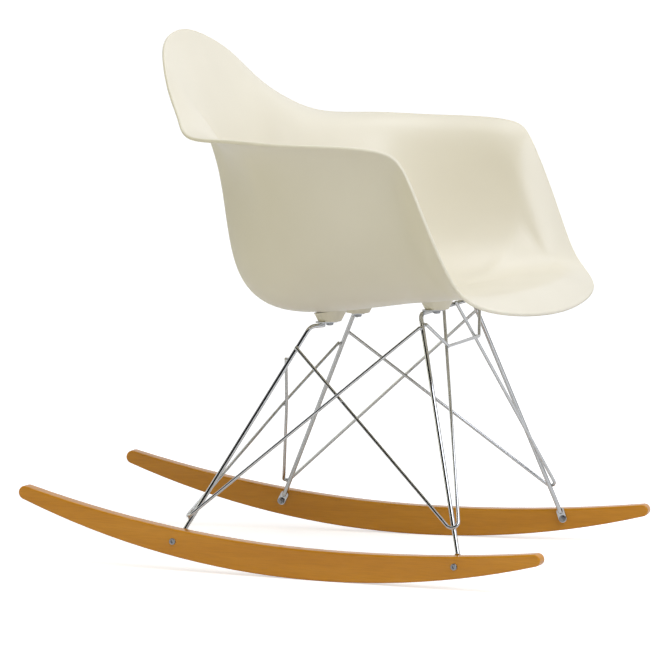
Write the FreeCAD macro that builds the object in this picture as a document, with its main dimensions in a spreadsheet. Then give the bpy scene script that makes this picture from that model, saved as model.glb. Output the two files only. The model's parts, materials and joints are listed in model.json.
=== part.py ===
import FreeCAD, Part, Sketcher
import math
import os

# Rocking armchair: a moulded bucket seat on a welded base of bent rod and wire, bolted to two wooden
# rockers. Millimetres, +Z up, floor at Z = 0. The chair faces -Y; +X is the sitter's left.
# X = 0 is its plane of symmetry and Y = 0 the middle of the rockers' length.

Vec = FreeCAD.Vector
UP = Vec(0, 0, 1)
DOC = FreeCAD.newDocument("RockingChair")

ROWS = ("front", "rear")
SIDES = (1, -1)
SIDE_NAMES = {1: "left", -1: "right"}

# ---------------------------------------------------------------- driving sizes

SIZES = (
    # seat shell
    ("seatHeight", 374.0),        # floor to the underside of the seat pan, at its middle
    ("seatTilt", 8.7),            # slope of the pan, lower at the back, degrees
    ("panMiddle", -105.0),        # where the pan's middle lies, front to back
    ("panHalfWidth", 234.0),      # to where the pan turns up into the sides
    ("panRear", 120.4),           # to where it turns up into the back, behind Y = 0
    ("panFront", 303.0),          # to where it turns down into the lip, ahead of Y = 0
    ("panRise", 4.0),             # of that front edge, above the pan's slope
    ("flatRadius", 45.0),         # flat round patch in the middle of the pan
    ("kneeRun", 60.0),            # length over which the pan turns up
    ("flareDrop", 118.0),         # from the back's top edge down to where its flare starts
    ("neckRun", 20.0),            # the wall turns into a flare over this much more than its length
    ("shellWall", 5.5),
    ("armHalfWidth", 313.0),
    ("armHeight", 619.0),
    ("backHeight", 757.0),
    ("backReach", 236.0),         # top edge of the back, behind Y = 0
    ("lipReach", 353.0),          # front lip, ahead of Y = 0
    ("lipHeight", 370.8),
    ("bossHeight", 11.6),          # below the pan, at the screw
    ("bossDiameter", 34.0),       # of its lower face
    ("bossDraft", 27.5),          # slope of its flank, degrees
    # seat screws and mounting tabs
    ("rearScrewAcross", 59.3),
    ("rearScrewAlong", -18.4),
    ("frontScrewAcross", 87.3),
    ("frontScrewAlong", -191.2),
    ("screwDiameter", 6.0),
    ("screwGrip", 8.5),           # length of screw in the insert
    ("screwHead", 11.0),
    ("screwHeadHeight", 4.4),
    ("insertWall", 1.5),
    ("insertLength", 10.0),
    ("fit", 0.1),                 # radial clearance of inserts, screws and bolts
    ("tabLength", 30.0),
    ("tabWidth", 18.0),
    ("tabThickness", 2.2),
    ("tabEnd", 9.0),              # screw to the tab's inner end
    ("tabCorner", 3.0),
    # rods of the base
    ("legDiameter", 6.5),
    ("legBend", 15.0),
    ("wireDiameter", 4.8),
    ("wireBend", 9.0),
    ("tieBend", 8.0),
    ("weldGap", 0.1),             # between the skins of rods that are welded to each other
    ("rearKneeReach", 36.6),      # rear screw to the knee of the leg
    ("rearTabAngle", 28.9),       # of the rear tab in plan, off the X direction, degrees
    ("rearTailLength", 26.0),     # horizontal end of the rear leg, from its knee
    ("frontCornerReach", 30.3),
    ("frontTabAngle", 30.7),
    ("rearBraceTopDrop", 48.5),   # below the knee of the opposite rear leg
    ("rearBraceFrontDrop", 18.8), # below the corner of the front leg
    ("rearBraceRise", 29.7),      # its bend, above the rear bolt
    ("frontBraceTopDrop", 31.0),  # below the knee of the rear leg
    ("frontBraceRise", 47.0),     # its bend, above the front bolt
    ("frontBraceInset", 28.0),    # where it meets the front bar, from X = 0
    ("tieTopDrop", 14.8),
    ("tieLowDrop", 50.8),
    ("lugWidth", 12.0),
    ("lugThickness", 3.0),
    ("ankleRise", 10.5),          # rod's end above the bolt, along the lug
    # rockers
    ("rockerLength", 812.0),
    ("rockerThickness", 20.0),
    ("rockerSpread", 227.8),      # middle of a rocker to X = 0, halfway along it
    ("rockerToe", 3.73),          # rockers spread towards the front, degrees
    ("rockRadius", 1296.0),
    ("contactAlong", -74.0),      # lowest point of the running edge
    ("crownAlong", -105.0),       # lowest point of the top edge
    ("crownHeight", 42.7),
    ("topRearRadius", 1920.0),
    ("topFrontRadius", 2650.0),
    ("rockerEdge", 2.5),
    ("rearBoltAlong", 158.5),
    ("frontBoltAlong", -277.4),
    ("boltRise", 1.6),            # above the middle of the rocker's depth
    ("boltDiameter", 5.0),
    ("boltHead", 9.6),
    ("boltHeadHeight", 2.2),
    ("boltEnd", 2.5),             # thread that stands out of the nut
    ("washerDiameter", 10.0),
    ("washerThickness", 1.0),
    ("nutWidth", 8.0),
    ("nutHeight", 4.0),
)

SHEET = DOC.addObject("Spreadsheet::Sheet", "Sizes")
for row, (alias, value) in enumerate(SIZES, start=1):
    SHEET.set("A%d" % row, alias)
    SHEET.set("B%d" % row, str(value))
    SHEET.setAlias("B%d" % row, alias)
DOC.recompute()


def size(alias):
    return float(getattr(SHEET, alias))


# ---------------------------------------------------------------- vectors and placements

def unit(vector):
    return vector * (1.0 / vector.Length)


def between(start, end, share):
    return start + (end - start) * share


def mirrored(point, side):
    """The point itself on the left (side +1), its mirror image on the right (side -1)."""
    return Vec(point.x * side, point.y, point.z)


def plan_direction(angle):
    """Unit vector from the left of the chair towards its middle and front, angle off -X in plan."""
    return Vec(-math.cos(math.radians(angle)), -math.sin(math.radians(angle)), 0)


def frame_at(origin, x_axis, z_axis):
    """Placement whose local X and Z axes point along the given perpendicular directions."""
    z_dir = unit(z_axis)
    y_dir = unit(z_dir.cross(x_axis))
    x_dir = y_dir.cross(z_dir)
    matrix = FreeCAD.Matrix(x_dir.x, y_dir.x, z_dir.x, origin.x,
                            x_dir.y, y_dir.y, z_dir.y, origin.y,
                            x_dir.z, y_dir.z, z_dir.z, origin.z,
                            0, 0, 0, 1)
    return FreeCAD.Placement(matrix)


# ---------------------------------------------------------------- PartDesign helpers

def new_body(label):
    body = DOC.addObject("PartDesign::Body", "Body_" + label)
    body.Label = label
    return body


def new_sketch(body, role):
    sketch = body.newObject("Sketcher::SketchObject", "Sketch")
    plane = next(item for item in body.Origin.OriginFeatures if item.Role == role)
    sketch.AttachmentSupport = (plane, "")
    sketch.MapMode = "FlatFace"
    return sketch


def bind(sketch, constraint, name, expression):
    index = sketch.addConstraint(constraint)
    sketch.renameConstraint(index, name)
    sketch.setExpression("Constraints." + name, expression)


def add_circle(sketch, name, expression, x=0.0, y=0.0):
    """Circle about (x, y) whose diameter follows an expression."""
    circle = sketch.addGeometry(Part.Circle(Vec(x, y, 0), Vec(0, 0, 1), 1.0), False)
    if x == 0.0 and y == 0.0:
        sketch.addConstraint(Sketcher.Constraint("Coincident", circle, 3, -1, 1))
    else:
        sketch.addConstraint(Sketcher.Constraint("DistanceX", -1, 1, circle, 3, x))
        sketch.addConstraint(Sketcher.Constraint("DistanceY", -1, 1, circle, 3, y))
    bind(sketch, Sketcher.Constraint("Diameter", circle, 2.0), name, expression)
    return circle


def add_polygon(sketch, points):
    lines = []
    for index, start in enumerate(points):
        end = points[(index + 1) % len(points)]
        lines.append(sketch.addGeometry(Part.LineSegment(start, end), False))
    for index, line in enumerate(lines):
        following = lines[(index + 1) % len(lines)]
        sketch.addConstraint(Sketcher.Constraint("Coincident", line, 2, following, 1))
    return lines


def add_pad(body, sketch, expression, backwards=False):
    pad = body.newObject("PartDesign::Pad", "Pad")
    pad.Profile = sketch
    pad.Reversed = backwards
    pad.setExpression("Length", expression)
    DOC.recompute()
    return pad


def add_pocket(body, sketch, expression, backwards=False):
    before = body.Shape.Volume
    pocket = body.newObject("PartDesign::Pocket", "Pocket")
    pocket.Profile = sketch
    pocket.Reversed = backwards
    pocket.setExpression("Length", expression)
    DOC.recompute()
    if body.Shape.Volume >= before:
        raise RuntimeError(body.Label + ": the pocket removes nothing")
    return pocket


def add_fillet(body, edges, expression):
    rounded = body.Tip
    fillet = body.newObject("PartDesign::Fillet", "Fillet")
    fillet.Base = (rounded, edges)
    fillet.setExpression("Radius", expression)
    DOC.recompute()
    return fillet


def edges_where(shape, test):
    return ["Edge%d" % number for number, edge in enumerate(shape.Edges, start=1) if test(edge)]


# ---------------------------------------------------------------- rods

def rounded_wire(points, radii):
    """Straight runs through the points, joined at the inner ones by tangent arcs."""
    edges = []
    start = points[0]
    for before, corner, after, radius in zip(points, points[1:], points[2:], radii):
        back = unit(before - corner)
        ahead = unit(after - corner)
        half = back.getAngle(ahead) / 2
        centre = corner + unit(back + ahead) * (radius / math.sin(half))
        first = corner + back * (radius / math.tan(half))
        last = corner + ahead * (radius / math.tan(half))
        middle = centre + unit(corner - centre) * radius
        edges.append(Part.LineSegment(start, first).toShape())
        edges.append(Part.Arc(first, middle, last).toShape())
        start = last
    edges.append(Part.LineSegment(start, points[-1]).toShape())
    return Part.Wire(edges)


def swept_rod(name, points, radii, diameter):
    """Round rod along the points; its diameter follows the named size."""
    route = DOC.addObject("Part::Feature", "Route_" + name)
    route.Shape = rounded_wire(points, radii)
    section = DOC.addObject("Part::Circle", "Section_" + name)
    section.setExpression("Radius", "Sizes.%s / 2" % diameter)
    section.Placement = FreeCAD.Placement(points[0], FreeCAD.Rotation(UP, points[1] - points[0]))
    sweep = DOC.addObject("Part::Sweep", "Rod_" + name)
    sweep.Sections = [section]
    sweep.Spine = (route, ["Edge%d" % number for number in range(1, len(route.Shape.Edges) + 1)])
    sweep.Solid = True
    sweep.Frenet = False
    return sweep


def point_at_height(foot, top, height):
    return between(foot, top, (height - foot.z) / (top.z - foot.z))


def beside_rod(foot, top, height, direction, distance):
    """Point beside a straight rod, at a height on it, square to its axis."""
    axis = unit(top - foot)
    square = direction - axis * direction.dot(axis)
    return point_at_height(foot, top, height) + unit(square) * distance


def bend_corner(apex, start, end, radius):
    """Corner whose arc of the given radius passes through the apex, between two runs."""
    inward = unit(unit(start - apex) + unit(end - apex))
    half = (start - apex).getAngle(end - apex) / 2
    return apex - inward * (radius * (1 / math.sin(half) - 1))


# ---------------------------------------------------------------- places shared by the pieces

def pan_height(along):
    """Height of the pan's underside."""
    return size("seatHeight") - (along - size("panMiddle")) * math.tan(math.radians(size("seatTilt")))


def screw_seat(row, side):
    """Middle of the lower face of a boss."""
    across = size(row + "ScrewAcross")
    along = size(row + "ScrewAlong")
    return Vec(side * across, along, pan_height(along) - size("bossHeight"))


def rod_top_height(row):
    """Height of a rod's axis under its tab."""
    return (screw_seat(row, 1).z - size("tabThickness") - size("weldGap") - size("legDiameter") / 2)


def leg_top(row):
    """Left knee or corner, where the leg turns to the horizontal."""
    reach = size("rearKneeReach") if row == "rear" else size("frontCornerReach")
    seat = screw_seat(row, 1)
    corner = seat - plan_direction(size(row + "TabAngle")) * reach
    return Vec(corner.x, corner.y, rod_top_height(row))


def on_rocker(along, height, outward):
    """Point of the left rocker's own frame: along it, up, and outward of its middle plane."""
    toe = math.radians(size("rockerToe"))
    run = Vec(-math.sin(toe), math.cos(toe), 0)
    out = Vec(math.cos(toe), math.sin(toe), 0)
    return Vec(size("rockerSpread"), 0, height) + run * along + out * outward


def arc_height(radius, centre_along, lowest, along):
    return lowest + radius - math.sqrt(radius ** 2 - (along - centre_along) ** 2)


def bolt_height(row):
    along = size(row + "BoltAlong")
    bottom = arc_height(size("rockRadius"), size("contactAlong"), 0, along)
    radius = size("topRearRadius") if along > size("crownAlong") else size("topFrontRadius")
    top = arc_height(radius, size("crownAlong"), size("crownHeight"), along)
    return (bottom + top) / 2 + size("boltRise")


def bolt_point(row, outward):
    """Point of the left bolt's axis, outward of the rocker's middle plane."""
    return on_rocker(size(row + "BoltAlong"), bolt_height(row), outward)


def ankle(row):
    """Lower end of the left leg's rod, above the bolt, beside the rocker."""
    inside = -size("rockerThickness") / 2 - size("weldGap") - size("legDiameter") / 2
    bolt = bolt_point(row, inside)
    leg = leg_top(row) - bolt
    out = bolt_point(row, 1) - bolt_point(row, 0)
    in_plane = unit(leg - out * leg.dot(out))
    return bolt + in_plane * size("ankleRise")


# ---------------------------------------------------------------- seat shell

# Half the shell, from the middle of the back round the arm to the middle of the front lip.
# rim:   across as a share of the arm's half width; along as a share of the back's reach (positive)
#        or the lip's (negative); height as a share from arm to back (above 1: from 1 up to 2) or
#        from lip to arm (0 to 1)
# flare: from the rim in to the neck, where the edge turns out of the wall, as shares of the
#        back's own flare
# knee:  where the pan turns up: across as a share of the pan's half width; along as a share of the
#        pan's reach to the rear (positive) or front (negative); how far it is above the pan's
#        slope, as a share of the front's rise
STATIONS = (
    ((0.000, 1.000, 2.000), (0.000, -0.640, -1.000), (0.000, 1.000, 0.500)),
    ((0.224, 0.979, 1.923), (-0.102, -0.632, -0.932), (0.248, 0.959, 0.500)),
    ((0.409, 0.894, 1.718), (-0.169, -0.585, -0.729), (0.449, 0.836, 0.250)),
    ((0.545, 0.781, 1.425), (-0.214, -0.575, -0.398), (0.607, 0.648, 0.250)),
    ((0.687, 0.646, 1.184), (-0.284, -0.517, -0.195), (0.718, 0.385, 0.000)),
    ((0.862, 0.479, 1.024), (-0.350, -0.424, 0.010), (0.795, 0.041, 0.000)),
    ((0.958, 0.191, 1.008), (-0.263, -0.153, -0.035), (0.850, -0.135, 0.000)),
    ((1.000, -0.099, 0.995), (-0.220, -0.025, -0.093), (0.885, -0.291, 0.000)),
    ((0.994, -0.326, 0.992), (-0.212, 0.000, -0.093), (0.910, -0.429, 0.000)),
    ((0.962, -0.496, 0.972), (-0.186, 0.076, -0.102), (0.940, -0.545, 0.000)),
    ((0.920, -0.581, 0.895), (-0.161, 0.110, -0.178), (0.960, -0.634, 0.000)),
    ((0.909, -0.649, 0.682), (-0.186, 0.169, -0.068), (0.966, -0.700, 0.000)),
    ((0.893, -0.718, 0.437), (-0.186, 0.153, -0.025), (0.949, -0.766, 0.000)),
    ((0.859, -0.792, 0.215), (-0.169, 0.136, 0.008), (0.855, -0.825, 0.000)),
    ((0.786, -0.875, 0.098), (-0.153, 0.153, 0.085), (0.726, -0.898, 0.375)),
    ((0.575, -0.952, 0.041), (-0.093, 0.144, 0.136), (0.545, -0.957, 0.750)),
    ((0.294, -0.989, 0.011), (-0.025, 0.136, 0.165), (0.296, -0.990, 1.000)),
    ((0.000, -1.000, 0.000), (0.000, 0.136, 0.169), (0.000, -1.000, 1.000)),
)
FLAT_EDGE = 1.6         # the pan starts to curve at this many flat radii
SHORTEST_SHARE = 0.45   # of a run between two turns, at most
CIRCLE_PULL = 4.0 / 3   # Bezier pull that rounds an edge to half a circle


def rim_point(across, along, height):
    reach = size("backReach") if along > 0 else size("lipReach")
    if height > 1:
        level = size("armHeight") + (height - 1) * (size("backHeight") - size("armHeight"))
    else:
        level = size("lipHeight") + height * (size("armHeight") - size("lipHeight"))
    return Vec(across * size("armHalfWidth"), along * reach, level)


def towards(start, end, distance):
    length = (end - start).Length
    return between(start, end, min(distance / length, SHORTEST_SHARE))


def station_rows(station):
    """Points of one section, from the pan's flat middle out to the rim."""
    rim_shares, flare, (across_share, along_share, rise) = station
    rim = rim_point(*rim_shares)
    neck = rim + Vec(*flare) * size("flareDrop")
    along = along_share * (size("panRear") if along_share > 0 else size("panFront"))
    knee = Vec(across_share * size("panHalfWidth"), along, pan_height(along) + rise * size("panRise"))
    middle = Vec(0, size("panMiddle"), size("seatHeight"))
    out = Vec(knee.x, knee.y - middle.y, pan_height(knee.y) - middle.z)
    flat = middle + unit(out) * size("flatRadius")
    turn = middle + unit(out) * (size("flatRadius") * FLAT_EDGE)
    return [flat, turn, towards(knee, turn, size("kneeRun")), towards(knee, neck, size("kneeRun")),
            towards(neck, knee, size("neckRun") + (rim - neck).Length), neck, rim]


def closed_poles(points):
    """Poles of the closed even cubic spline through the points."""
    poles = list(points)
    count = len(points)
    for _ in range(60):
        poles = [pole + point - (poles[index - 1] + pole * 4 + poles[(index + 1) % count]) * (1 / 6)
                 for index, (pole, point) in enumerate(zip(poles, points))]
    return poles


def outer_net():
    """Rows of poles of the outer skin, each running once round the shell."""
    half = [station_rows(station) for station in STATIONS]
    other = [[mirrored(point, -1) for point in section] for section in half[-2:0:-1]]
    sections = half + other
    return [closed_poles(list(row)) for row in zip(*sections)]


def inner_net(outer, wall):
    """The outer rows moved inward by the wall, with its turns kept parallel."""
    inner = []
    count = len(outer[0])
    last = len(outer) - 1
    for level, row in enumerate(outer):
        moved = []
        for index, pole in enumerate(row):
            round_way = unit(row[(index + 1) % count] - pole) + unit(pole - row[index - 1])
            steps = []
            if level > 0:
                steps.append(unit(pole - outer[level - 1][index]))
            if level < last:
                steps.append(unit(outer[level + 1][index] - pole))
            up_way = unit(sum(steps[1:], steps[0]))
            normal = unit(round_way.cross(up_way))
            turn = steps[0].getAngle(steps[-1])
            moved.append(pole + normal * (wall / math.cos(turn / 2)))
        inner.append(moved)
    return inner


def skin(rows, knots):
    """Surface on rows of poles: closed and even round the shell, clamped cubic across it."""
    count = len(rows[0])
    surface = Part.BSplineSurface()
    surface.buildFromPolesMultsKnots(
        [list(column) for column in zip(*rows)],
        [1] * (count + 1), [4] + [1] * (len(knots) - 2) + [4],
        [float(index) for index in range(count + 1)], knots,
        True, False, 3, 3)
    return surface.toShape()


def flat_disc(row):
    """Flat face inside a closed even spline on a row of poles."""
    curve = Part.BSplineCurve()
    curve.buildFromPolesMultsKnots(row, [1] * (len(row) + 1),
                                   [float(index) for index in range(len(row) + 1)], True, 3)
    return Part.Face(Part.Wire(curve.toShape()))


def shell_wall():
    wall = size("shellWall")
    outer = outer_net()
    inner = inner_net(outer, wall)
    if inner[0][0].z < outer[0][0].z:
        inner = inner_net(outer, -wall)
    outer_bulge = []
    inner_bulge = []
    for rim, neck, inside in zip(outer[-1], outer[-2], inner[-1]):
        pull = unit(rim - neck) * (CIRCLE_PULL * wall / 2)
        outer_bulge.append(rim + pull)
        inner_bulge.append(inside + pull)
    across = [float(index) for index in range(len(outer) - 2)]
    faces = [
        skin(outer, across),
        skin(inner, across),
        skin([outer[-1], outer_bulge, inner_bulge, inner[-1]], [0.0, 1.0]),
        flat_disc(outer[0]),
        flat_disc(inner[0]),
    ]
    shell = Part.makeShell(faces)
    shell.sewShape()
    solid = Part.Solid(shell)
    if solid.Volume < 0:
        solid.reverse()
    return solid


def boss(row, side):
    """Cone under the pan, cut off along the middle of the pan's wall."""
    seat = screw_seat(row, side)
    radius = size("bossDiameter") / 2
    height = 2 * (size("bossHeight") + size("shellWall"))
    spread = height * math.tan(math.radians(size("bossDraft")))
    cone = Part.makeCone(radius, radius + spread, height, seat)
    reach = 4 * (radius + spread)
    lid = Part.makeBox(reach, reach, reach, Vec(-reach / 2, -reach / 2, 0))
    lid.rotate(Vec(0, 0, 0), Vec(1, 0, 0), -size("seatTilt"))
    lid.translate(Vec(seat.x, seat.y, seat.z + size("bossHeight") + size("shellWall") / 2))
    return cone.cut(lid)


def insert_diameter():
    return size("screwDiameter") + 2 * (size("fit") + size("insertWall"))


def make_seat_shell():
    shape = shell_wall()
    for row in ROWS:
        for side in SIDES:
            shape = shape.fuse(boss(row, side))
    for row in ROWS:
        for side in SIDES:
            bore = Part.makeCylinder(insert_diameter() / 2 + size("fit"),
                                     size("insertLength") + size("fit"), screw_seat(row, side))
            shape = shape.cut(bore)
    shell = DOC.addObject("Part::Feature", "Shell")
    shell.Shape = shape.Solids[0]
    shell.Label = "seat_shell"
    return shell


# ---------------------------------------------------------------- seat fastenings


def node_name(kind, row, side):
    return "_".join(word for word in (kind, row, SIDE_NAMES[side]) if word)


def make_ring(label, outer, inner, length):
    """Washer or sleeve with its lower face at the local origin; sizes are expressions."""
    body = new_body(label)
    sketch = new_sketch(body, "XY_Plane")
    add_circle(sketch, "outer", outer)
    add_circle(sketch, "inner", inner)
    add_pad(body, sketch, length)
    return body


def make_insert(row, side):
    body = make_ring(node_name("seat_insert", row, side),
                     "Sizes.screwDiameter + 2 * (Sizes.fit + Sizes.insertWall)",
                     "Sizes.screwDiameter + 2 * Sizes.fit", "Sizes.insertLength")
    body.Placement.Base = screw_seat(row, side)
    return body


RECESS_ARM = 2.6        # cross recess of the seat screw: half its span, half its slot, its depth
RECESS_HALF_SLOT = 0.6
RECESS_DEPTH = 2.0
SCREW_ROUNDING = 2.2    # edge of the screw's pan head


def make_seat_screw(row, side):
    body = new_body(node_name("seat_screw", row, side))
    head = new_sketch(body, "XY_Plane")
    add_circle(head, "head", "Sizes.screwHead")
    add_pad(body, head, "Sizes.screwHeadHeight", backwards=True)
    shank = new_sketch(body, "XY_Plane")
    add_circle(shank, "shank", "Sizes.screwDiameter")
    add_pad(body, shank, "Sizes.tabThickness + Sizes.screwGrip")
    bottom = -size("screwHeadHeight")
    rim = edges_where(body.Shape, lambda edge: abs(edge.CenterOfMass.z - bottom) < 0.01)
    add_fillet(body, rim, "min(%s; Sizes.screwHeadHeight / 2)" % SCREW_ROUNDING)
    recess = new_sketch(body, "XY_Plane")
    recess.AttachmentOffset.Base = Vec(0, 0, bottom)
    arm = RECESS_ARM
    slot = RECESS_HALF_SLOT
    quarter = (Vec(arm, slot, 0), Vec(slot, slot, 0), Vec(slot, arm, 0))
    points = [FreeCAD.Rotation(UP, 90 * turn).multVec(point) for turn in range(4) for point in quarter]
    add_polygon(recess, points)
    add_pocket(body, recess, str(RECESS_DEPTH), backwards=True)
    seat = screw_seat(row, side)
    body.Placement.Base = Vec(seat.x, seat.y, seat.z - size("tabThickness"))
    return body


def make_tab(row, side):
    """Flat strip from the rod's end to the screw; its local X runs towards the screw's end."""
    body = new_body(node_name("mounting_tab", row, side))
    sketch = new_sketch(body, "XY_Plane")
    inner = size("tabEnd")
    outer = inner - size("tabLength")
    half = size("tabWidth") / 2
    lines = add_polygon(sketch, [Vec(outer, -half, 0), Vec(inner, -half, 0),
                                 Vec(inner, half, 0), Vec(outer, half, 0)])
    for line, kind in ((lines[0], "Horizontal"), (lines[2], "Horizontal"), (lines[3], "Vertical")):
        sketch.addConstraint(Sketcher.Constraint(kind, line))
    sketch.addConstraint(Sketcher.Constraint("Symmetric", lines[1], 1, lines[1], 2, -1))
    bind(sketch, Sketcher.Constraint("DistanceX", -1, 1, lines[1], 1, inner), "end", "Sizes.tabEnd")
    bind(sketch, Sketcher.Constraint("DistanceX", lines[0], 1, lines[0], 2, inner - outer),
         "length", "Sizes.tabLength")
    bind(sketch, Sketcher.Constraint("DistanceY", lines[1], 1, lines[1], 2, 2 * half),
         "width", "Sizes.tabWidth")
    add_circle(sketch, "hole", "Sizes.screwDiameter + 4 * Sizes.fit")
    add_pad(body, sketch, "Sizes.tabThickness")
    corners = edges_where(body.Shape, lambda edge: edge.Curve.TypeId == "Part::GeomLine"
                          and abs(edge.tangentAt(edge.FirstParameter).z) > 0.9
                          and abs(edge.CenterOfMass.y) > half - 0.01)
    add_fillet(body, corners, "Sizes.tabCorner")
    seat = screw_seat(row, side)
    origin = Vec(seat.x, seat.y, seat.z - size("tabThickness"))
    body.Placement = frame_at(origin, mirrored(plan_direction(size(row + "TabAngle")), side), UP)
    return body


# ---------------------------------------------------------------- welded base

def outward_normal(side):
    toe = math.radians(size("rockerToe"))
    return Vec(side * math.cos(toe), math.sin(toe), 0)


def lug_frame(row, side):
    """Local X up along the lug, local Z outward, origin on the bolt's axis at the lug's inner face."""
    inside = -size("rockerThickness") / 2 - size("lugThickness")
    origin = mirrored(bolt_point(row, inside), side)
    up_lug = mirrored(ankle(row) - bolt_point(row, 0), side)
    out = outward_normal(side)
    return frame_at(origin, up_lug - out * up_lug.dot(out), out)


def bound(kind, name, placement, **expressions):
    """Part primitive whose sizes follow expressions."""
    item = DOC.addObject(kind, name)
    for key, expression in expressions.items():
        item.setExpression(key, expression)
    item.Placement = placement
    return item


def make_lug(row, side, name):
    """Flattened end of a rod: a drilled slot-shaped plate."""
    body = new_body("Lug_" + name)
    sketch = new_sketch(body, "XY_Plane")
    rise = size("ankleRise")
    half = size("lugWidth") / 2
    lower = sketch.addGeometry(Part.Arc(Vec(0, half, 0), Vec(-half, 0, 0), Vec(0, -half, 0)), False)
    upper = sketch.addGeometry(Part.Arc(Vec(rise, -half, 0), Vec(rise + half, 0, 0),
                                        Vec(rise, half, 0)), False)
    right = sketch.addGeometry(Part.LineSegment(Vec(0, -half, 0), Vec(rise, -half, 0)), False)
    left = sketch.addGeometry(Part.LineSegment(Vec(rise, half, 0), Vec(0, half, 0)), False)
    for first, end, second, start in ((lower, 2, right, 1), (right, 2, upper, 1),
                                      (upper, 2, left, 1), (left, 2, lower, 1)):
        sketch.addConstraint(Sketcher.Constraint("Tangent", first, end, second, start))
    sketch.addConstraint(Sketcher.Constraint("Coincident", lower, 3, -1, 1))
    sketch.addConstraint(Sketcher.Constraint("PointOnObject", upper, 3, -1))
    bind(sketch, Sketcher.Constraint("DistanceX", lower, 3, upper, 3, rise), "rise", "Sizes.ankleRise")
    bind(sketch, Sketcher.Constraint("Radius", lower, half), "round", "Sizes.lugWidth / 2")
    add_circle(sketch, "hole", "Sizes.boltDiameter + 4 * Sizes.fit")
    add_pad(body, sketch, "Sizes.lugThickness")
    body.Placement = lug_frame(row, side)
    return body


def with_lugs(label, rod, row, sides):
    """Rod with a slightly swollen end and a flattened, drilled lug at each foot."""
    joined = rod
    for side in sides:
        name = "%s_%s" % (row, SIDE_NAMES[side])
        end = DOC.addObject("Part::Sphere", "RodEnd_" + name)
        end.setExpression("Radius", "(Sizes.legDiameter + Sizes.weldGap) / 2")
        end.Placement.Base = mirrored(ankle(row), side)
        for member in (end, make_lug(row, side, name)):
            fused = DOC.addObject("Part::Fuse", "Joined_" + name)
            fused.Base = joined
            fused.Tool = member
            joined = fused
    joined.Label = label
    return joined


def make_front_leg_frame():
    feet = [mirrored(ankle("front"), side) for side in SIDES]
    corners = [mirrored(leg_top("front"), side) for side in SIDES]
    rod = swept_rod("front_frame", [feet[0], corners[0], corners[1], feet[1]],
                    [size("legBend")] * 2, "legDiameter")
    return with_lugs("front_leg_frame", rod, "front", SIDES)


def make_rear_leg(side):
    knee = leg_top("rear")
    tail = knee + plan_direction(size("rearTabAngle")) * size("rearTailLength")
    route = [mirrored(point, side) for point in (ankle("rear"), knee, tail)]
    name = node_name("rear_leg", "", side)
    return with_lugs(name, swept_rod(name, route, [size("legBend")], "legDiameter"), "rear", [side])


WIRE_BOW = 1500.0       # radius of the slight bow where the rear braces pass each other
BOW_GAP = 0.2           # from X = 0 to the skin of each brace there
HOOK_GAP = 0.5          # a bend round a foot stands this much further off
REAR_TOP_FACE = Vec(0, 1, 0)            # faces of the legs that the wires are welded to
REAR_HOOK_FACE = Vec(0.55, 0.83, 0)
REAR_FRONT_FACE = Vec(1, 0.3, 0)
FRONT_TOP_FACE = Vec(1, 0, 0)
FRONT_HOOK_FACE = Vec(0.85, -0.5, 0)
TIE_FACE = Vec(0, -1, 0)
BAR_OVERRUN = 3.0       # the front braces run past the bar by this much
TIE_OUTSET = 4.0        # the tie's lower corner lies this far outside the front brace


def weld_distance():
    return (size("legDiameter") + size("wireDiameter")) / 2 + size("weldGap")


def make_rear_brace(side):
    """Wire from the other rear leg, round this one's foot and forward to the front leg."""
    foot = ankle("rear")
    knee = leg_top("rear")
    start = beside_rod(mirrored(foot, -1), mirrored(knee, -1), knee.z - size("rearBraceTopDrop"),
                       REAR_TOP_FACE, weld_distance())
    apex = beside_rod(foot, knee, bolt_height("rear") + size("rearBraceRise"),
                      REAR_HOOK_FACE, weld_distance() + HOOK_GAP)
    end = beside_rod(ankle("front"), leg_top("front"),
                     leg_top("front").z - size("rearBraceFrontDrop"), REAR_FRONT_FACE, weld_distance())
    hook = bend_corner(apex, start, end, size("wireBend"))
    crossing = between(start, hook, -start.x / (hook.x - start.x))
    square = unit((hook - start).cross(Vec(1, 0, 0)))
    if square.y > 0:
        square = square * -1
    bowed = crossing + square * (side * (size("wireDiameter") / 2 + BOW_GAP))
    route = [mirrored(point, side) for point in (start, bowed, hook, end)]
    name = node_name("rear_brace", "", side)
    rod = swept_rod(name, route, [WIRE_BOW, size("wireBend")], "wireDiameter")
    rod.Label = name
    return rod


def front_brace_route():
    """Left front brace: its upper end on the rear leg, its bend, and its end at the front bar."""
    start = beside_rod(ankle("rear"), leg_top("rear"), leg_top("rear").z - size("frontBraceTopDrop"),
                       FRONT_TOP_FACE, weld_distance())
    apex = beside_rod(ankle("front"), leg_top("front"), bolt_height("front") + size("frontBraceRise"),
                      FRONT_HOOK_FACE, weld_distance() + HOOK_GAP)
    bar = Vec(size("frontBraceInset"), leg_top("front").y, leg_top("front").z)
    square = Vec(0, -1, 0)
    for _ in range(4):
        touch = bar + square * weld_distance()
        hook = bend_corner(apex, start, touch, size("wireBend"))
        run = unit(touch - hook)
        square = unit(run.cross(Vec(1, 0, 0)))
        if square.y > 0:
            square = square * -1
    return [start, hook, touch + run * BAR_OVERRUN]


def make_front_brace(side):
    route = [mirrored(point, side) for point in front_brace_route()]
    name = node_name("front_brace", "", side)
    rod = swept_rod(name, route, [size("wireBend")], "wireDiameter")
    rod.Label = name
    return rod


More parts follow.
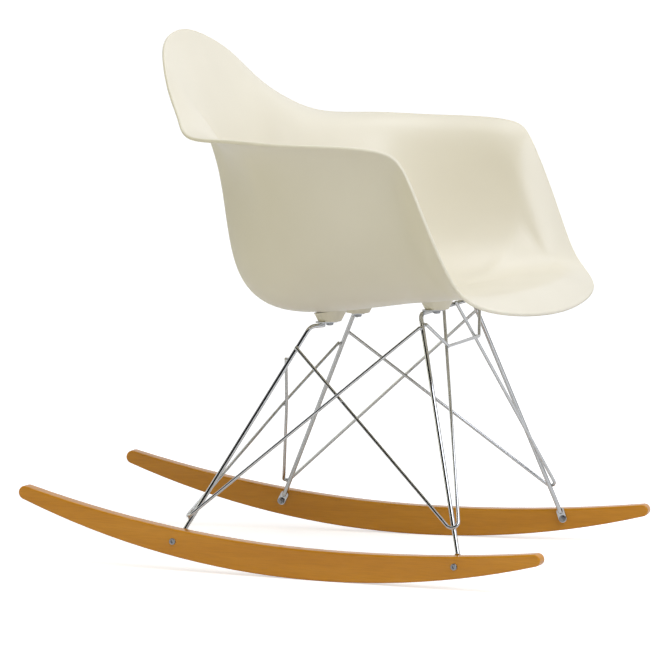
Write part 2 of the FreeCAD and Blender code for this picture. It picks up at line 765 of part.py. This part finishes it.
def make_front_tie():
    """Wire hanging from the front legs, level across the front of the two front braces."""
    corner = leg_top("front")
    start = beside_rod(ankle("front"), corner, corner.z - size("tieTopDrop"), TIE_FACE, weld_distance())
    _, hook, end = front_brace_route()
    crossing = point_at_height(hook, end, corner.z - size("tieLowDrop"))
    square = unit((end - hook).cross(Vec(1, 0, 0)))
    if square.y > 0:
        square = square * -1
    low = crossing + square * (size("wireDiameter") + size("weldGap")) + Vec(TIE_OUTSET, 0, 0)
    route = [start, low, mirrored(low, -1), mirrored(start, -1)]
    rod = swept_rod("front_tie_wire", route, [size("tieBend")] * 2, "wireDiameter")
    rod.Label = "front_tie_wire"
    return rod


# ---------------------------------------------------------------- rockers

def rocker_tip(end):
    """Centre (along, height) and radius of the round tip at the rear (+1) or front (-1)."""
    bottom = size("rockRadius")
    top = size("topRearRadius") if end > 0 else size("topFrontRadius")
    low = 1.0
    high = size("crownHeight")
    for _ in range(60):
        radius = (low + high) / 2
        along = end * (size("rockerLength") / 2 - radius)
        height = bottom - math.sqrt((bottom - radius) ** 2 - (along - size("contactAlong")) ** 2)
        gap = math.hypot(along - size("crownAlong"), size("crownHeight") + top - height) - top
        if gap > radius:
            low = radius
        else:
            high = radius
    return along, height, radius


def arc_through(centre, radius, start, end):
    """Arc about a centre from start to end, taken the short way round."""
    middle = (start + end) * 0.5 - centre
    return Part.Arc(start, centre + unit(middle) * radius, end)


def make_rocker(side):
    """Rocker outline of five tangent arcs, in its own plane: local X along it, local Y up."""
    body = new_body(node_name("rocker", "", side))
    sketch = new_sketch(body, "YZ_Plane")
    sketch.setExpression("AttachmentOffset.Base.z", "-Sizes.rockerThickness / 2")
    radius = size("rockRadius")
    belly_centre = Vec(size("contactAlong"), radius, 0)
    crown = Vec(size("crownAlong"), size("crownHeight"), 0)
    joints = {}
    tips = {}
    for end, top_radius in ((1, size("topRearRadius")), (-1, size("topFrontRadius"))):
        along, height, tip_radius = rocker_tip(end)
        centre = Vec(along, height, 0)
        top_centre = crown + Vec(0, top_radius, 0)
        below = belly_centre + unit(centre - belly_centre) * radius
        above = top_centre + unit(centre - top_centre) * top_radius
        nose = centre + Vec(end * tip_radius, 0, 0)
        tips[end] = Part.Arc(below, nose, above)
        joints[end] = (below, above, top_centre, top_radius)
    belly = sketch.addGeometry(arc_through(belly_centre, radius, joints[-1][0], joints[1][0]), False)
    rear_tip = sketch.addGeometry(tips[1], False)
    rear_top = sketch.addGeometry(arc_through(joints[1][2], joints[1][3], joints[1][1], crown), False)
    front_top = sketch.addGeometry(arc_through(joints[-1][2], joints[-1][3], crown, joints[-1][1]),
                                   False)
    front_tip = sketch.addGeometry(tips[-1], False)
    loop = (belly, rear_tip, rear_top, front_top, front_tip)
    for arc, following in zip(loop, loop[1:] + loop[:1]):
        ends = nearest_ends(sketch, arc, following)
        sketch.addConstraint(Sketcher.Constraint("Tangent", arc, ends[0], following, ends[1]))
    bind(sketch, Sketcher.Constraint("Radius", belly, radius), "belly", "Sizes.rockRadius")
    bind(sketch, Sketcher.Constraint("Radius", rear_top, joints[1][3]), "rearTop",
         "Sizes.topRearRadius")
    bind(sketch, Sketcher.Constraint("Radius", front_top, joints[-1][3]), "frontTop",
         "Sizes.topFrontRadius")
    bind(sketch, Sketcher.Constraint("DistanceY", -1, 1, belly, 3, radius), "floor", "Sizes.rockRadius")
    DOC.recompute()
    add_pad(body, sketch, "Sizes.rockerThickness")
    outline = edges_where(body.Shape, lambda edge: edge.Length > 1.5 * size("rockerThickness")
                          or abs(edge.tangentAt(edge.FirstParameter).x) < 0.5)
    add_fillet(body, outline, "Sizes.rockerEdge")
    holes = new_sketch(body, "YZ_Plane")
    holes.setExpression("AttachmentOffset.Base.z", "-Sizes.rockerThickness")
    for row in ROWS:
        add_circle(holes, row, "Sizes.boltDiameter + 2 * Sizes.fit",
                   size(row + "BoltAlong"), bolt_height(row))
    add_pocket(body, holes, "2 * Sizes.rockerThickness", backwards=True)
    body.Placement = FreeCAD.Placement(Vec(side * size("rockerSpread"), 0, 0),
                                       FreeCAD.Rotation(UP, side * size("rockerToe")))
    return body


def nearest_ends(sketch, first, second):
    """Which ends (1 start, 2 end) of two arcs meet."""
    pairs = [(a, b) for a in (1, 2) for b in (1, 2)]
    return min(pairs, key=lambda pair: (sketch.getPoint(first, pair[0])
                                        - sketch.getPoint(second, pair[1])).Length)


BOLT_ROUNDING = 1.2     # edge of the bolt's flat round head
BOLT_SOCKET = 4.0       # hexagon socket in the head: across flats, and its depth
BOLT_SOCKET_DEPTH = 1.8


def bolt_frame(row, side, outward):
    """Local Z outward along the bolt, origin this far outward of the rocker's middle plane."""
    return frame_at(mirrored(bolt_point(row, outward), side), UP, outward_normal(side))


def make_rocker_bolt(row, side):
    body = new_body(node_name("rocker_bolt", row, side))
    head = new_sketch(body, "XY_Plane")
    add_circle(head, "head", "Sizes.boltHead")
    add_pad(body, head, "Sizes.boltHeadHeight")
    shank = new_sketch(body, "XY_Plane")
    add_circle(shank, "shank", "Sizes.boltDiameter")
    add_pad(body, shank, "Sizes.rockerThickness + Sizes.lugThickness + Sizes.washerThickness"
            " + Sizes.nutHeight + Sizes.boltEnd", backwards=True)
    top = size("boltHeadHeight")
    rim = edges_where(body.Shape, lambda edge: abs(edge.CenterOfMass.z - top) < 0.01)
    add_fillet(body, rim, "min(%s; Sizes.boltHeadHeight / 2)" % BOLT_ROUNDING)
    socket = new_sketch(body, "XY_Plane")
    socket.AttachmentOffset.Base = Vec(0, 0, top)
    corner = BOLT_SOCKET / 2 / math.cos(math.radians(30))
    add_polygon(socket, [FreeCAD.Rotation(UP, 60 * turn).multVec(Vec(corner, 0, 0)) for turn in range(6)])
    add_pocket(body, socket, str(BOLT_SOCKET_DEPTH))
    body.Placement = bolt_frame(row, side, size("rockerThickness") / 2)
    return body


def make_washer(row, side):
    body = make_ring(node_name("rocker_washer", row, side), "Sizes.washerDiameter",
                     "Sizes.boltDiameter + 2 * Sizes.fit", "Sizes.washerThickness")
    inside = size("rockerThickness") / 2 + size("lugThickness") + size("washerThickness")
    body.Placement = bolt_frame(row, side, -inside)
    return body


def make_nut(row, side):
    body = new_body(node_name("rocker_nut", row, side))
    sketch = new_sketch(body, "XY_Plane")
    corner = size("nutWidth") / 2 / math.cos(math.radians(30))
    points = [FreeCAD.Rotation(UP, 60 * turn).multVec(Vec(corner, 0, 0)) for turn in range(6)]
    lines = add_polygon(sketch, points)
    ring = sketch.addGeometry(Part.Circle(Vec(0, 0, 0), Vec(0, 0, 1), corner), True)
    sketch.addConstraint(Sketcher.Constraint("Coincident", ring, 3, -1, 1))
    for line in lines:
        sketch.addConstraint(Sketcher.Constraint("PointOnObject", line, 1, ring))
    for line in lines[1:]:
        sketch.addConstraint(Sketcher.Constraint("Equal", lines[0], line))
    sketch.addConstraint(Sketcher.Constraint("PointOnObject", lines[0], 1, -1))
    bind(sketch, Sketcher.Constraint("Diameter", ring, 2 * corner), "corners",
         "Sizes.nutWidth / cos(30)")
    add_circle(sketch, "bore", "Sizes.boltDiameter + 2 * Sizes.fit")
    add_pad(body, sketch, "Sizes.nutHeight")
    inside = (size("rockerThickness") / 2 + size("lugThickness") + size("washerThickness")
              + size("nutHeight"))
    body.Placement = bolt_frame(row, side, -inside)
    return body


# ---------------------------------------------------------------- assembly and export

def make_all():
    nodes = [make_seat_shell(), make_front_leg_frame(), make_front_tie()]
    for side in SIDES:
        nodes.append(make_rear_leg(side))
        nodes.append(make_rear_brace(side))
        nodes.append(make_front_brace(side))
        nodes.append(make_rocker(side))
        for row in ROWS:
            nodes.append(make_insert(row, side))
            nodes.append(make_seat_screw(row, side))
            nodes.append(make_tab(row, side))
            nodes.append(make_rocker_bolt(row, side))
            nodes.append(make_washer(row, side))
            nodes.append(make_nut(row, side))
    DOC.recompute()
    return nodes


def check(nodes):
    for item in DOC.Objects:
        if "Invalid" in item.State or "Error" in item.State:
            raise RuntimeError("%s could not be built: %s" % (item.Label, item.State))
    for node in nodes:
        shape = node.Shape
        if shape.isNull() or not shape.isValid() or len(shape.Solids) != 1 or shape.Volume <= 0:
            raise RuntimeError("%s is not one sound solid" % node.Label)


NODES = make_all()
check(NODES)
os.makedirs("parts", exist_ok=True)
for node in NODES:
    node.Shape.exportStep("parts/%s.step" % node.Label)
    print("%-28s %10.0f mm3" % (node.Label, node.Shape.Volume))
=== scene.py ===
import json
import math

import bmesh
import bpy
from mathutils import Matrix, Vector, noise
from mathutils.bvhtree import BVHTree


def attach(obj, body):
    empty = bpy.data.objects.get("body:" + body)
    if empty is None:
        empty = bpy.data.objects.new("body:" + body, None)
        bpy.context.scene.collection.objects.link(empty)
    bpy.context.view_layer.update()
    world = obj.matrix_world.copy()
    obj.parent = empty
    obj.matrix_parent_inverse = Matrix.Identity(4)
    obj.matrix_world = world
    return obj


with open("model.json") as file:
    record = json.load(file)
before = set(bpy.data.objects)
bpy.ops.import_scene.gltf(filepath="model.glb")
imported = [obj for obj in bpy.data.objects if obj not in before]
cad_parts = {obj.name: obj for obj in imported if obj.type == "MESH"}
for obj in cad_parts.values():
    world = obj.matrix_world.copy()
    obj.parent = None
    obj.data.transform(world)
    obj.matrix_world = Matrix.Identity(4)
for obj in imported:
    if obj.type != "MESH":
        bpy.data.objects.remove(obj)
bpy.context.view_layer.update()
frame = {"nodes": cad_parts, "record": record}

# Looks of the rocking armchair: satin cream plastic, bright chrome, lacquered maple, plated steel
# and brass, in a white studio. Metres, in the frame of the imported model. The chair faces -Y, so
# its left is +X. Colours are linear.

NODES = frame["nodes"]


# ---------------------------------------------------------------- helpers

def add_object(name, data):
    thing = bpy.data.objects.new(name, data)
    bpy.context.scene.collection.objects.link(thing)
    return thing


def new_material(name):
    material = bpy.data.materials.new(name)
    material.use_nodes = True
    material.node_tree.nodes.clear()
    return material


def add_node(tree, kind, **values):
    """Shader node with its inputs or properties set by name."""
    node = tree.nodes.new("ShaderNode" + kind)
    for key, value in values.items():
        label = key.replace("_", " ")
        if label in node.inputs:
            node.inputs[label].default_value = value
        else:
            setattr(node, key, value)
    return node


def link(tree, source, output, target, entry):
    tree.links.new(source.outputs[output], target.inputs[entry])


def add_noise(tree, fineness, detail, roughness=0.55, stretch=(1, 1, 1)):
    """Noise on object coordinates, finer along each axis by its stretch."""
    place = add_node(tree, "TexCoord")
    mapping = add_node(tree, "Mapping", Scale=stretch)
    pattern = add_node(tree, "TexNoise", Scale=fineness, Detail=detail, Roughness=roughness)
    link(tree, place, "Object", mapping, "Vector")
    link(tree, mapping, "Vector", pattern, "Vector")
    return pattern


def ramp(tree, source, output, stops):
    """Colour ramp over (position, colour) stops."""
    node = add_node(tree, "ValToRGB")
    band = node.color_ramp
    band.elements[0].position, band.elements[0].color = stops[0][0], (*stops[0][1], 1)
    band.elements[1].position, band.elements[1].color = stops[-1][0], (*stops[-1][1], 1)
    for position, colour in stops[1:-1]:
        band.elements.new(position).color = (*colour, 1)
    link(tree, source, output, node, "Fac")
    return node


def level(tree, source, output, low, high, start=0.0, end=1.0):
    """Value that goes from low to high while the source goes from start to end."""
    node = add_node(tree, "MapRange", From_Min=start, From_Max=end, To_Min=low, To_Max=high)
    link(tree, source, output, node, "Value")
    return node


def bump(tree, source, output, strength, distance):
    node = add_node(tree, "Bump", Strength=strength, Distance=distance)
    link(tree, source, output, node, "Height")
    return node


# ---------------------------------------------------------------- materials

# (position, colour) stops of the ramps over the noise
PLASTIC_TINTS = ((0.30, (0.772, 0.724, 0.572)), (0.70, (0.806, 0.758, 0.606)))
WOOD_TINTS = (
    (0.25, (0.560, 0.222, 0.008)), (0.48, (0.610, 0.252, 0.011)),
    (0.60, (0.640, 0.270, 0.014)), (0.80, (0.680, 0.300, 0.020)),
)
FIBRE_SHADES = ((0.35, (0.86, 0.82, 0.76)), (0.60, (1.0, 1.0, 1.0)))
CHROME_TINTS = ((0.30, (0.54, 0.55, 0.55)), (0.70, (0.60, 0.61, 0.61)))
STEEL_TINTS = ((0.30, (0.26, 0.27, 0.28)), (0.70, (0.38, 0.39, 0.40)))
BRASS_TINTS = ((0.30, (0.60, 0.43, 0.16)), (0.70, (0.74, 0.57, 0.26)))

GRAIN_STRETCH = (38.0, 1.6, 38.0)       # growth rings, drawn out along the rocker
FIBRE_STRETCH = (520.0, 9.0, 520.0)     # fine dark fibres between them
FIBRE_SHARE = 0.55                      # how much the fibres darken the rings' colour
MIX_FIRST, MIX_SECOND, MIX_RESULT = 6, 7, 2     # the Mix node's colour sockets


def finish_surface(tree, shader, pattern, gloss, relief):
    """Roughness and bump from one pattern: gloss is a range, relief (strength, distance)."""
    roughness = level(tree, pattern, "Fac", *gloss)
    link(tree, roughness, "Result", shader, "Roughness")
    normal = bump(tree, pattern, "Fac", *relief)
    link(tree, normal, "Normal", shader, "Normal")
    output = add_node(tree, "OutputMaterial")
    link(tree, shader, 0, output, "Surface")


def make_plastic():
    """Satin moulded plastic: a faint cloudiness and a very fine moulded grain."""
    material = new_material("cream_plastic")
    tree = material.node_tree
    shader = add_node(tree, "BsdfPrincipled", IOR=1.49)
    cloud = add_noise(tree, fineness=5.0, detail=3.0)
    tint = ramp(tree, cloud, "Fac", PLASTIC_TINTS)
    link(tree, tint, "Color", shader, "Base Color")
    grain = add_noise(tree, fineness=900.0, detail=2.0)
    finish_surface(tree, shader, grain, gloss=(0.32, 0.42), relief=(0.12, 0.0003))
    return material


def make_wood():
    """Clear-lacquered maple, its grain running along the rocker."""
    material = new_material("lacquered_maple")
    tree = material.node_tree
    shader = add_node(tree, "BsdfPrincipled", Coat_Weight=0.70, Coat_Roughness=0.10,
                      Specular_IOR_Level=0.05)
    rings = add_noise(tree, fineness=1.0, detail=5.0, roughness=0.6, stretch=GRAIN_STRETCH)
    tint = ramp(tree, rings, "Fac", WOOD_TINTS)
    fibre = add_noise(tree, fineness=1.0, detail=3.0, stretch=FIBRE_STRETCH)
    shade = ramp(tree, fibre, "Fac", FIBRE_SHADES)
    mix = add_node(tree, "Mix", data_type="RGBA", blend_type="MULTIPLY", Factor=FIBRE_SHARE)
    link(tree, tint, "Color", mix, MIX_FIRST)
    link(tree, shade, "Color", mix, MIX_SECOND)
    link(tree, mix, MIX_RESULT, shader, "Base Color")
    finish_surface(tree, shader, fibre, gloss=(0.34, 0.48), relief=(0.10, 0.0002))
    return material


def make_metal(name, tints, fineness, detail, gloss, relief):
    """Plated or turned metal with a fine mottle."""
    material = new_material(name)
    tree = material.node_tree
    shader = add_node(tree, "BsdfPrincipled", Metallic=1.0)
    mottle = add_noise(tree, fineness, detail)
    tint = ramp(tree, mottle, "Fac", tints)
    link(tree, tint, "Color", shader, "Base Color")
    finish_surface(tree, shader, mottle, gloss, relief)
    return material


MATERIALS = {
    "shell_plastic": make_plastic(),
    "chromed_steel": make_metal("bright_chrome", CHROME_TINTS, fineness=160.0, detail=3.0,
                                gloss=(0.05, 0.11), relief=(0.05, 0.0002)),
    "rocker_wood": make_wood(),
    "fastener_steel": make_metal("plated_steel", STEEL_TINTS, fineness=700.0, detail=4.0,
                                 gloss=(0.24, 0.36), relief=(0.10, 0.0002)),
    "brass": make_metal("turned_brass", BRASS_TINTS, fineness=500.0, detail=4.0,
                        gloss=(0.24, 0.36), relief=(0.10, 0.0002)),
}


def dress_nodes():
    """Every CAD node keeps its shape and takes the finish of its slot."""
    slots = {entry["node"]: entry["material_slot"] for entry in frame["record"]["subparts"]}
    for name, piece in NODES.items():
        piece.data.materials.clear()
        piece.data.materials.append(MATERIALS[slots[name]])


# ---------------------------------------------------------------- weld beads

BEAD_RADIUS = 0.0034        # in the plane between the two rods
BEAD_HALF = 0.0023          # half the bead's thickness, from rod to rod
BEAD_DETAIL = 3             # subdivisions of the sphere that it starts from
BEAD_RIPPLE = 0.12          # share of its size
RIPPLE_FINENESS = 2.2
RIPPLE_SHIFT = 7.3          # between one bead's ripple and the next one's
EDGE_STEP = 0.002           # between the points tried along a rod
WELD_REACH = 0.02           # points further than this from the other rod are passed over


def along_edges(piece):
    """Points on a node's surface, spaced along its longer edges."""
    mesh = piece.data
    points = [vertex.co.copy() for vertex in mesh.vertices]
    for edge in mesh.edges:
        start, end = (mesh.vertices[index].co for index in edge.vertices)
        count = int((end - start).length / EDGE_STEP)
        points.extend(start.lerp(end, share / count) for share in range(1, count))
    return points


def surface_tree(piece):
    graph = bpy.context.evaluated_depsgraph_get()
    return BVHTree.FromObject(piece, graph)


def contact(first, second, side=0):
    """Where two welded pieces are nearest, as (middle, direction from the first to the second).

    A side of 1 or -1 keeps to the left or the right half of the chair.
    """
    tree = surface_tree(NODES[second])
    best = None
    for point in along_edges(NODES[first]):
        if side and point.x * side < 0:
            continue
        place, _, _, distance = tree.find_nearest(point, WELD_REACH)
        if place is not None and (best is None or distance < best[2]):
            best = (point.lerp(place, 0.5), place - point, distance)
    middle, across, _ = best
    return middle, across.normalized()


def add_bead(mesh, place, across, shift):
    """Rippled lentil of weld metal in the crevice between two rods."""
    turn = across.to_track_quat("Z", "Y").to_matrix().to_4x4()
    size = Matrix.Diagonal((BEAD_RADIUS, BEAD_RADIUS, BEAD_HALF, 1))
    made = bmesh.ops.create_icosphere(mesh, subdivisions=BEAD_DETAIL, radius=1.0)
    for vertex in made["verts"]:
        ripple = noise.noise(vertex.co * RIPPLE_FINENESS + Vector((shift, 0, 0)))
        vertex.co = turn @ size @ (vertex.co * (1 + BEAD_RIPPLE * ripple)) + place


def make_weld_beads():
    welds = [("rear_brace_left", "rear_brace_right", 0)]
    for own, other, side in (("left", "right", 1), ("right", "left", -1)):
        welds += [
            ("rear_brace_" + own, "rear_leg_" + other, 0),
            ("rear_brace_" + own, "rear_leg_" + own, 0),
            ("rear_brace_" + own, "front_leg_frame", 0),
            ("front_brace_" + own, "rear_leg_" + own, 0),
            ("front_brace_" + own, "front_tie_wire", 0),
            ("front_tie_wire", "front_leg_frame", side),
        ]
    mesh = bmesh.new()
    for index, weld in enumerate(welds):
        place, across = contact(*weld)
        add_bead(mesh, place, across, index * RIPPLE_SHIFT)
    data = bpy.data.meshes.new("weld_beads")
    mesh.to_mesh(data)
    mesh.free()
    data.polygons.foreach_set("use_smooth", [True] * len(data.polygons))
    data.materials.append(MATERIALS["chromed_steel"])
    beads = add_object("weld_beads", data)
    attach(beads, "root")


# ---------------------------------------------------------------- floor

FLOOR_HALF = 60.0
FLOOR_COLOUR = (0.80, 0.80, 0.80, 1)
WHITE_RGBA = (1, 1, 1, 1)

# the glow that the camera sees, so that the lit floor is white but keeps its shadow
GLOW_NEAR = 0.62
GLOW_FAR = 1.0          # past the lamps' reach
GLOW_FADE = (1.0, 4.0)  # distances from the origin between which it changes
GLOW_MIRRORED = 0.3     # share of it that gloss and metal mirror


def make_floor():
    material = new_material("studio_floor")
    tree = material.node_tree
    diffuse = add_node(tree, "BsdfDiffuse", Color=FLOOR_COLOUR)
    glow = add_node(tree, "Emission", Color=WHITE_RGBA)
    rays = add_node(tree, "LightPath")
    place = add_node(tree, "TexCoord")
    distance = add_node(tree, "VectorMath", operation="LENGTH")
    link(tree, place, "Object", distance, 0)
    fade = level(tree, distance, "Value", GLOW_NEAR, GLOW_FAR, *GLOW_FADE)
    seen = add_node(tree, "Math", operation="MULTIPLY_ADD")
    link(tree, rays, "Is Glossy Ray", seen, 0)
    seen.inputs[1].default_value = GLOW_MIRRORED
    link(tree, rays, "Is Camera Ray", seen, 2)
    strength = add_node(tree, "Math", operation="MULTIPLY")
    link(tree, seen, "Value", strength, 0)
    link(tree, fade, "Result", strength, 1)
    link(tree, strength, "Value", glow, "Strength")
    both = add_node(tree, "AddShader")
    link(tree, diffuse, 0, both, 0)
    link(tree, glow, 0, both, 1)
    output = add_node(tree, "OutputMaterial")
    link(tree, both, 0, output, "Surface")
    corners = [(x * FLOOR_HALF, y * FLOOR_HALF, 0) for x, y in ((-1, -1), (1, -1), (1, 1), (-1, 1))]
    data = bpy.data.meshes.new("studio_floor")
    data.from_pydata(corners, [], [(0, 1, 2, 3)])
    data.materials.append(material)
    add_object("studio_floor", data)


# ---------------------------------------------------------------- world

WORLD_LIGHT = 0.16
SKY_TINTS = ((0.05, (0.25, 0.24, 0.20)), (0.5, (1.0, 0.98, 0.94)))  # from the horizon up
CAMERA_SIDE = (-0.938, -0.348, 0)   # the studio's dark side, from the chair
MIRRORED_WHITE = 0.85               # what gloss and metal mirror of the other walls
MIRRORED_DARK = 0.02                # and of the dark side
WALL_EDGE = 0.30                    # white turns to dark as the cosine to CAMERA_SIDE goes
                                    # from minus this to this


def make_world():
    """White for the camera, white walls with one dark side for gloss, a weak sky for the rest."""
    world = bpy.data.worlds.new("studio")
    bpy.context.scene.world = world
    world.use_nodes = True
    tree = world.node_tree
    tree.nodes.clear()
    rays = add_node(tree, "LightPath")
    place = add_node(tree, "TexCoord")
    parts = add_node(tree, "SeparateXYZ")
    link(tree, place, "Generated", parts, "Vector")
    sky = ramp(tree, parts, "Z", SKY_TINTS)
    light = add_node(tree, "Background", Strength=WORLD_LIGHT)
    link(tree, sky, "Color", light, "Color")
    facing = add_node(tree, "VectorMath", operation="DOT_PRODUCT")
    link(tree, place, "Generated", facing, 0)
    facing.inputs[1].default_value = CAMERA_SIDE
    walls = level(tree, facing, "Value", MIRRORED_WHITE, MIRRORED_DARK, -WALL_EDGE, WALL_EDGE)
    mirrored = add_node(tree, "Background", Color=WHITE_RGBA)
    link(tree, walls, "Result", mirrored, "Strength")
    backdrop = add_node(tree, "Background", Color=WHITE_RGBA, Strength=1.0)
    gloss = add_node(tree, "MixShader")
    link(tree, rays, "Is Glossy Ray", gloss, "Fac")
    link(tree, light, 0, gloss, 1)
    link(tree, mirrored, 0, gloss, 2)
    seen = add_node(tree, "MixShader")
    link(tree, rays, "Is Camera Ray", seen, "Fac")
    link(tree, gloss, 0, seen, 1)
    link(tree, backdrop, 0, seen, 2)
    output = add_node(tree, "OutputWorld")
    link(tree, seen, 0, output, "Surface")


# ---------------------------------------------------------------- lamps

MIDDLE = Vector((0, 0, 0.45))       # the point that every lamp faces
LAMP_DISTANCE = 3.0
COOL = (0.885, 0.905, 1.0)
WHITE = (1.0, 1.0, 1.0)
WARM = (1.0, 0.965, 0.70)

# azimuth and elevation seen from the chair, in degrees, then side, power, colour and whether
# gloss and metal mirror the softbox
SOFTBOXES = (
    ("key_front", 245, 38, 2.4, 65.5, COOL, True),
    ("overhead", 0, 88, 2.2, 40.0, COOL, True),
    ("far_front", 330, 25, 1.6, 17.0, WHITE, False),
    ("near_rear", 140, 45, 1.8, 6.5, WARM, False),
    ("near_low", 160, 4, 1.8, 16.0, WARM, False),
    ("near_edge", 108, 12, 1.4, 8.0, WARM, True),
)


def make_lights():
    for name, azimuth, elevation, side, power, colour, mirrored in SOFTBOXES:
        turn, rise = math.radians(azimuth), math.radians(elevation)
        flat = math.cos(rise)
        away = Vector((flat * math.cos(turn), flat * math.sin(turn), math.sin(rise)))
        lamp = bpy.data.lights.new(name, "AREA")
        lamp.shape = "SQUARE"
        lamp.size = side
        lamp.energy = power
        lamp.color = colour
        holder = add_object(name, lamp)
        holder.location = MIDDLE + away * LAMP_DISTANCE
        holder.rotation_euler = away.to_track_quat("Z", "Y").to_euler()
        holder.visible_camera = False
        holder.visible_glossy = mirrored


# ---------------------------------------------------------------- camera

CAMERA_PLACE = Vector((-7.1440, -2.6494, 1.1870))
CAMERA_TARGET = Vector((0, -0.0045, 0.3216))
CAMERA_LENS = 283.74        # mm, on a sensor 36 mm wide
SENSOR_WIDTH = 36.0
SIGHT = 200.0               # past the floor's far corners


def make_camera():
    camera = bpy.data.cameras.new("camera")
    camera.sensor_width = SENSOR_WIDTH
    camera.lens = CAMERA_LENS
    camera.clip_end = SIGHT
    holder = add_object("camera", camera)
    holder.location = CAMERA_PLACE
    look = CAMERA_TARGET - CAMERA_PLACE
    holder.rotation_euler = look.to_track_quat("-Z", "Y").to_euler()
    bpy.context.scene.camera = holder


dress_nodes()
make_weld_beads()
make_floor()
make_world()
make_lights()
make_camera()
bpy.context.scene.view_settings.view_transform = "Standard"
